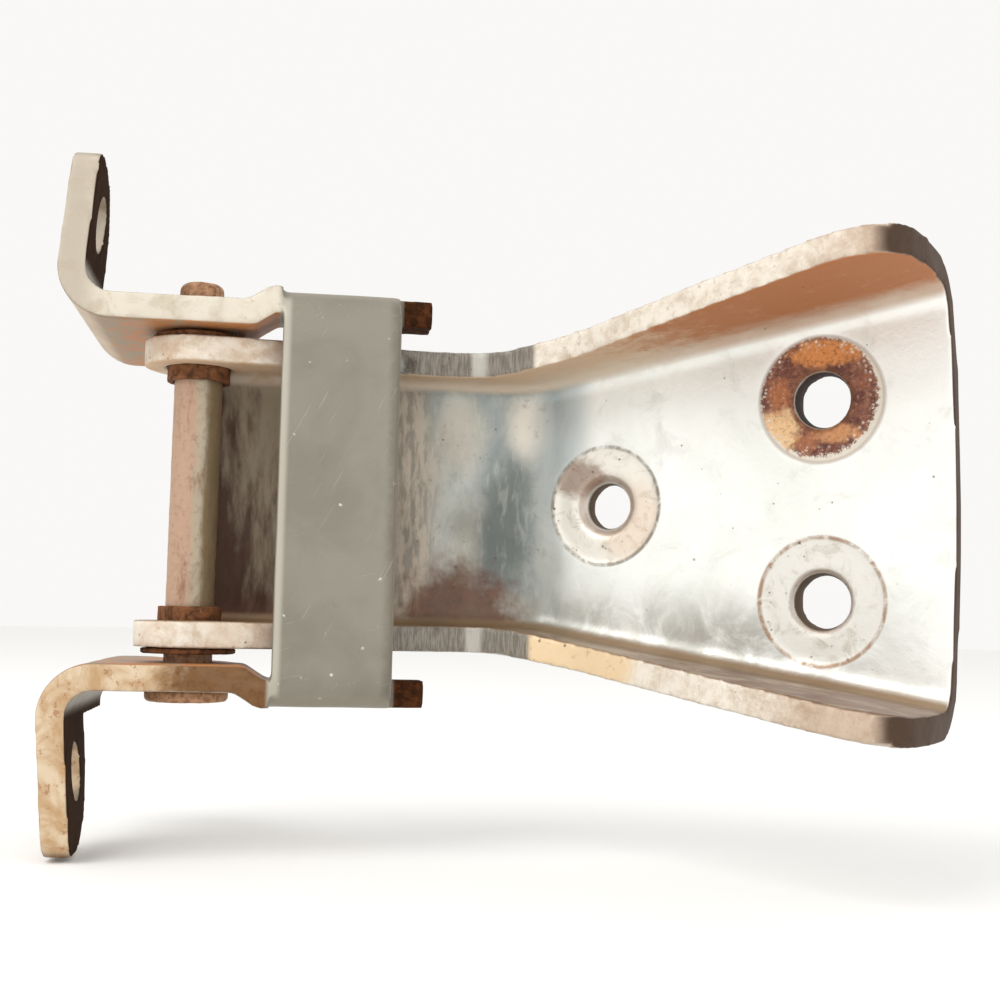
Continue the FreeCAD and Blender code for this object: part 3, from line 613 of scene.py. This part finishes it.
def toe_colour(paint, strap, base):
    """Toes red-brown rust darkened by painted shade; hollow and top of the bridge dull brown."""
    # Toes: red-brown rust with painted shade.
    shaded_rusty_toe = paint.mix(paint.ramp(strap.fine, 0.4, 0.65), colour(54, 32, 18), colour(86, 50, 28))
    base = paint.mix(strap.shaded_rusty_toe, base, shaded_rusty_toe)
    hollow = paint.mix(strap.smudge, colour(118, 92, 68), colour(88, 62, 44))
    base = paint.mix(strap.hollow, base, hollow)
    return paint.mix(paint.times(strap.top, 0.6), base, colour(150, 142, 126))


def strap_steel():
    """Satin warm grey over the bridge, cream edges on the arms, dark rust inside, with painted shade
    inside the feet and on the toes.
    """
    paint = Paint("strap_steel")
    strap_space(paint)
    strap = strap_places(paint)
    scratches = paint.most(paint.times(paint.scratches(0.45, 62.0, 3.0), strap.bridge_face),
                           paint.times(paint.scratches(0.35, 15.0, 13.0), strap.bridge_face))
    more_low = paint.times(paint.ramp(paint.z, -12.0, -26.0), 0.12)
    chips = paint.times(paint.spots(3.0, 0.4, 4.0), paint.ramp(paint.add(strap.fine, more_low), 0.55, 0.6),
                        strap.bridge_face)
    rust = paint.times(paint.ramp(paint.add(strap.fine, paint.times(strap.lower, 0.05)), 0.62, 0.72), 0.6)
    base = bridge_colour(paint, strap, scratches, chips)
    base = strip_colour(paint, strap, rust, base)
    base = arm_colour(paint, strap, base)
    base = toe_colour(paint, strap, base)

    rusty = paint.most(strap.shaded_rusty_toe, strap.shaded_rusty_foot_inner, paint.times(strap.strip, rust))
    rough = paint.add(paint.blend(rusty, 0.42, 0.9), paint.uneven(strap.smudge, 0.2))
    metal = paint.blend(paint.most(rusty, strap.arms), 0.25, 0.05)
    grain = paint.noise(0.5, 3, 0.7, seed=9.0)
    height = paint.add(paint.times(grain, 0.3),
                       paint.times(strap.fine, paint.blend(strap.bridge_face, 1.0, 0.15)),
                       paint.times(chips, 0.6), paint.times(scratches, -0.25))
    return paint.finish(base, rough, metal, height, 0.09, specular=0.05)


def pin_steel():
    """Shank brown with a painted highlight stripe and painted shade on the side facing the bridge, head
    and tail rusted.
    """
    paint = Paint("pin_steel")
    strap_space(paint)
    smudge = paint.noise(3.2, 6, 0.7, 0.8, stretch=(1, 1, 0.3), seed=3.0)
    fine = paint.noise(0.9, 4, 0.7, seed=6.0)
    # Painted light by facing: a pale highlight stripe on one side of the shank, painted shade on the side
    # towards the bridge.
    toward_shade = paint.add(paint.facing_x, paint.uneven(smudge, 0.5))
    shank = paint.mix(paint.ramp(toward_shade, -0.2, 0.25), colour(178, 146, 122), colour(172, 160, 138))
    shank = paint.mix(paint.ramp(toward_shade, 0.3, 0.6), shank, colour(124, 106, 78))
    shank = paint.mix(paint.times(paint.ramp(smudge, 0.48, 0.72), 0.7), shank, RUST["brown"])
    shank = paint.mix(paint.times(paint.ramp(fine, 0.5, 0.7), 0.35), shank, colour(112, 84, 62))
    from_middle = paint.absolute(paint.add(paint.z, paint.times(smudge, 1.5)))
    ends = paint.ramp(from_middle, 24.0, 26.0)
    end_base = paint.mix(paint.ramp(fine, 0.4, 0.65), colour(176, 134, 98), colour(126, 84, 54))
    base = paint.mix(ends, shank, end_base)
    rough = paint.blend(paint.ramp(smudge, 0.4, 0.7), 0.5, 0.8)
    height = paint.add(paint.times(fine, 0.8), paint.times(smudge, 0.4))
    metal = paint.times(paint.ramp(smudge, 0.6, 0.4), 0.3)
    return paint.finish(base, rough, metal, height, 0.12)


def bush_steel():
    """Bushes: brown rust with darker creases."""
    paint = Paint("bush_steel")
    smudge = paint.noise(2.4, 6, 0.7, 0.8, seed=3.0)
    fine = paint.noise(0.8, 4, 0.7, seed=6.0)
    base = paint.mix(paint.ramp(smudge, 0.35, 0.68), colour(132, 86, 54), colour(66, 42, 26))
    base = paint.mix(paint.times(paint.ramp(fine, 0.62, 0.75), 0.5), base, colour(190, 152, 116))
    rough = paint.blend(smudge, 0.7, 0.9)
    return paint.finish(base, rough, paint.times(smudge, 0.1), fine, 0.14, specular=0.2)


# Shapes ---------------------------------------------------------------------------------------

WEAR_LEAF = 0.10         # half of the deepest waviness
WEAR_STRAP = 0.07
WEAR_SMALL = 0.05
LEAF_WAVE = 9.0          # length of the waves
STRAP_WAVE = 8.0
SMALL_WAVE = 1.6
NECK_DENTS = (           # x, z, radius and depth
    (-17, 6, 3.8, 0.7),
    (-22, -6, 4.2, 0.7),
    (-14.5, -12, 3.4, 0.5),
    (-26, 10, 3.8, 0.55),
    (-19, 15, 3.0, 0.45),
    (-27, -15, 3.4, 0.5),
)
DENTED_FROM, DENTED_TO = -38, -8
DENT_STRETCH = 0.7       # dents are this much flatter along z
WEB_BAND = 3.0           # how far from the web's front face a point still belongs to it
NICK_X, NICK_Z = -26.6, 22.6
NICK_LONG, NICK_WIDE, NICK_DEEP = 0.9, 1.3, 1.3
NICK_FRONT = -20
HOLE_REACH = 5.2         # walls of the punched holes lie inside this radius
HOLE_FRONT = -5.2
TAPER_FROM, TAPER_RUN = -4.4, 2.4
TAPER = 0.5              # narrowing of a hole's radius behind


def bell(distance, width):
    """1 at the middle, falling smoothly to nothing past the width."""
    return np.exp(-(distance / width) ** 2)


def roughness(points, size, seed):
    """Seeded noise from -1 to 1 at each point, its bumps about size metres."""
    shift = Vector((seed, seed * 0.7, seed * 1.3))
    return np.array([noise.noise(Vector(point) / size + shift) for point in points])


def sink(points, normals, depth):
    """Points moved inward along their normals by a depth in millimetres."""
    return points - normals * (depth * MM)[:, None]


def neck_dents(x, y, z, normals):
    """Depth of the dents hammered into the front of the neck."""
    web_y = np.minimum(x - NECK_START, 0) * NECK_SLOPE
    front_web = (normals[:, 1] < -0.5) & (np.abs(y - web_y + GAUGE) < WEB_BAND)
    neck = front_web & (x < DENTED_TO) & (x > DENTED_FROM)
    dents = 0.0
    for dent_x, dent_z, radius, deep in NECK_DENTS:
        dents = dents + deep * bell(np.hypot(x - dent_x, (z - dent_z) * DENT_STRETCH), radius)
    return np.where(neck, dents, 0.0)


def rim_nick(x, y, z, normals):
    """Depth of the nick in the upper rim."""
    facing = (normals[:, 1] < -0.3) * (y < NICK_FRONT)
    return NICK_DEEP * bell(x - NICK_X, NICK_LONG) * bell(z - NICK_Z, NICK_WIDE) * facing


def worn_leaf(points, normals):
    """Dents in the neck, a nick in the upper rim, wavy faces, and punched holes narrower behind."""
    x, y, z = (points[:, axis] / MM for axis in range(3))
    depth = WEAR_LEAF * (roughness(points, LEAF_WAVE * MM, 3.0) + 1)
    depth = depth + neck_dents(x, y, z, normals) + rim_nick(x, y, z, normals)
    moved = sink(points, normals, depth)
    for seat_x, seat_z in SEATS.values():
        aside, above = x - seat_x, z - seat_z
        reach = np.hypot(aside, above)
        bore = (reach < HOLE_REACH) & (y > HOLE_FRONT)
        taper = TAPER * np.clip((y - TAPER_FROM) / TAPER_RUN, 0, 1)
        squeeze = np.where(bore, taper, 0.0) * MM / np.maximum(reach, 1)
        moved[:, 0] -= aside * squeeze
        moved[:, 2] -= above * squeeze
    return moved


def worn_strap(points, normals):
    """Faintly wavy faces."""
    return sink(points, normals, WEAR_STRAP * (roughness(points, STRAP_WAVE * MM, 11.0) + 1))


def worn_steel(points, normals):
    """Rust-eaten surface of pin and bushes."""
    return sink(points, normals, WEAR_SMALL * (roughness(points, SMALL_WAVE * MM, 5.0) + 1))


WELD = 1e-6              # metres between points that are one point


def skin(node, body, material, cell, smoothing, wear):
    """Fine mesh over a CAD node: even cells in millimetres, smoothed edges, then wear."""
    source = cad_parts[node]
    obj = bpy.data.objects.new(f"{node}_skin", source.data.copy())
    bpy.context.scene.collection.objects.link(obj)
    welded = bmesh.new()
    welded.from_mesh(obj.data)
    bmesh.ops.remove_doubles(welded, verts=welded.verts, dist=WELD)
    welded.to_mesh(obj.data)
    welded.free()
    remesh = obj.modifiers.new("cells", "REMESH")
    remesh.mode = "VOXEL"
    remesh.voxel_size = cell * MM
    soften = obj.modifiers.new("edges", "SMOOTH")
    soften.factor = 0.5
    soften.iterations = smoothing
    graph = bpy.context.evaluated_depsgraph_get()
    mesh = bpy.data.meshes.new_from_object(obj.evaluated_get(graph))
    obj.modifiers.clear()
    obj.data = mesh
    mesh.name = f"{node}_skin"
    points = np.empty(len(mesh.vertices) * 3)
    mesh.vertices.foreach_get("co", points)
    normals = np.empty(len(mesh.vertices) * 3)
    mesh.vertices.foreach_get("normal", normals)
    moved = wear(points.reshape(-1, 3), normals.reshape(-1, 3))
    mesh.vertices.foreach_set("co", moved.ravel())
    mesh.materials.clear()
    mesh.materials.append(material)
    mesh.update()
    mesh.shade_smooth()
    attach(obj, body)
    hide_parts(node)


skin("pillar_leaf", "pillar_side", leaf_steel(), 0.55, 3, worn_leaf)
skin("door_strap", "door_side", strap_steel(), 0.5, 3, worn_strap)
skin("hinge_pin", "door_side", pin_steel(), 0.4, 2, worn_steel)
bush_material = bush_steel()
for bush in ("upper_bush", "lower_bush"):
    skin(bush, "pillar_side", bush_material, 0.3, 2, worn_steel)


# Stage ----------------------------------------------------------------------------------------

FLOOR_REACH = 3.0
FLOOR_GAP = 0.5          # millimetres between the floor and the part's lowest point
AIM = (0, -0.02, 0)
CAMERA_PLACE = (0.10609, -0.21691, -0.02012)
CAMERA_YAW, CAMERA_PITCH, CAMERA_ROLL = 30.82, 5.0, -1.21
CAMERA_LENS, CAMERA_SENSOR = 50.4, 36.0
CAMERA_NEAR = 0.01


def floor_material():
    paint = Paint("stage_floor")
    speckle = paint.noise(40, 3, 0.5)
    base = paint.mix(paint.times(speckle, 0.4), colour(250, 250, 249), colour(243, 243, 241))
    return paint.finish(base, 0.9, 0.0, speckle, 0.05, specular=0.1)


def stage(low):
    """Plain pale floor under the part."""
    corners = [(x * FLOOR_REACH, y * FLOOR_REACH, low) for x, y in ((-1, -1), (1, -1), (1, 1), (-1, 1))]
    mesh = bpy.data.meshes.new("stage_floor")
    mesh.from_pydata(corners, [], [(0, 1, 2, 3)])
    mesh.materials.append(floor_material())
    floor = bpy.data.objects.new("stage_floor", mesh)
    bpy.context.scene.collection.objects.link(floor)


def area_light(name, place, aim, width, height, power):
    light = bpy.data.lights.new(name, "AREA")
    light.shape = "RECTANGLE"
    light.size = width
    light.size_y = height
    light.energy = power
    lamp = bpy.data.objects.new(name, light)
    lamp.location = place
    lamp.rotation_euler = (Vector(aim) - Vector(place)).to_track_quat("-Z", "Y").to_euler()
    bpy.context.scene.collection.objects.link(lamp)


def studio():
    """Even white surroundings, a soft key light from the upper left and a weak fill."""
    world = bpy.data.worlds.new("studio")
    world.use_nodes = True
    background = world.node_tree.nodes["Background"]
    background.inputs["Color"].default_value = (1.0, 0.99, 0.975, 1.0)
    background.inputs["Strength"].default_value = 0.95
    bpy.context.scene.world = world
    bpy.context.scene.view_settings.view_transform = "Standard"
    area_light("key", (-0.25, -0.75, 0.75), AIM, 0.7, 0.7, 5.0)
    area_light("fill", (0.75, -0.45, 0.15), AIM, 0.6, 0.8, 1.5)


def camera():
    """From the front right and a little below, looking slightly up."""
    yaw, pitch, roll = (math.radians(angle) for angle in (CAMERA_YAW, CAMERA_PITCH, CAMERA_ROLL))
    upright = Matrix.Rotation(math.radians(90), 3, "X")
    turn = (Matrix.Rotation(yaw, 3, "Z") @ Matrix.Rotation(pitch, 3, "X")
            @ Matrix.Rotation(roll, 3, "Y") @ upright)
    data = bpy.data.cameras.new("camera")
    data.sensor_width = CAMERA_SENSOR
    data.lens = CAMERA_LENS
    data.clip_start = CAMERA_NEAR
    view = bpy.data.objects.new("camera", data)
    view.matrix_world = Matrix.Translation(CAMERA_PLACE) @ turn.to_4x4()
    bpy.context.scene.collection.objects.link(view)
    bpy.context.scene.camera = view


stage(min(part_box(node)[0].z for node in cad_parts) - FLOOR_GAP * MM)
studio()
camera()
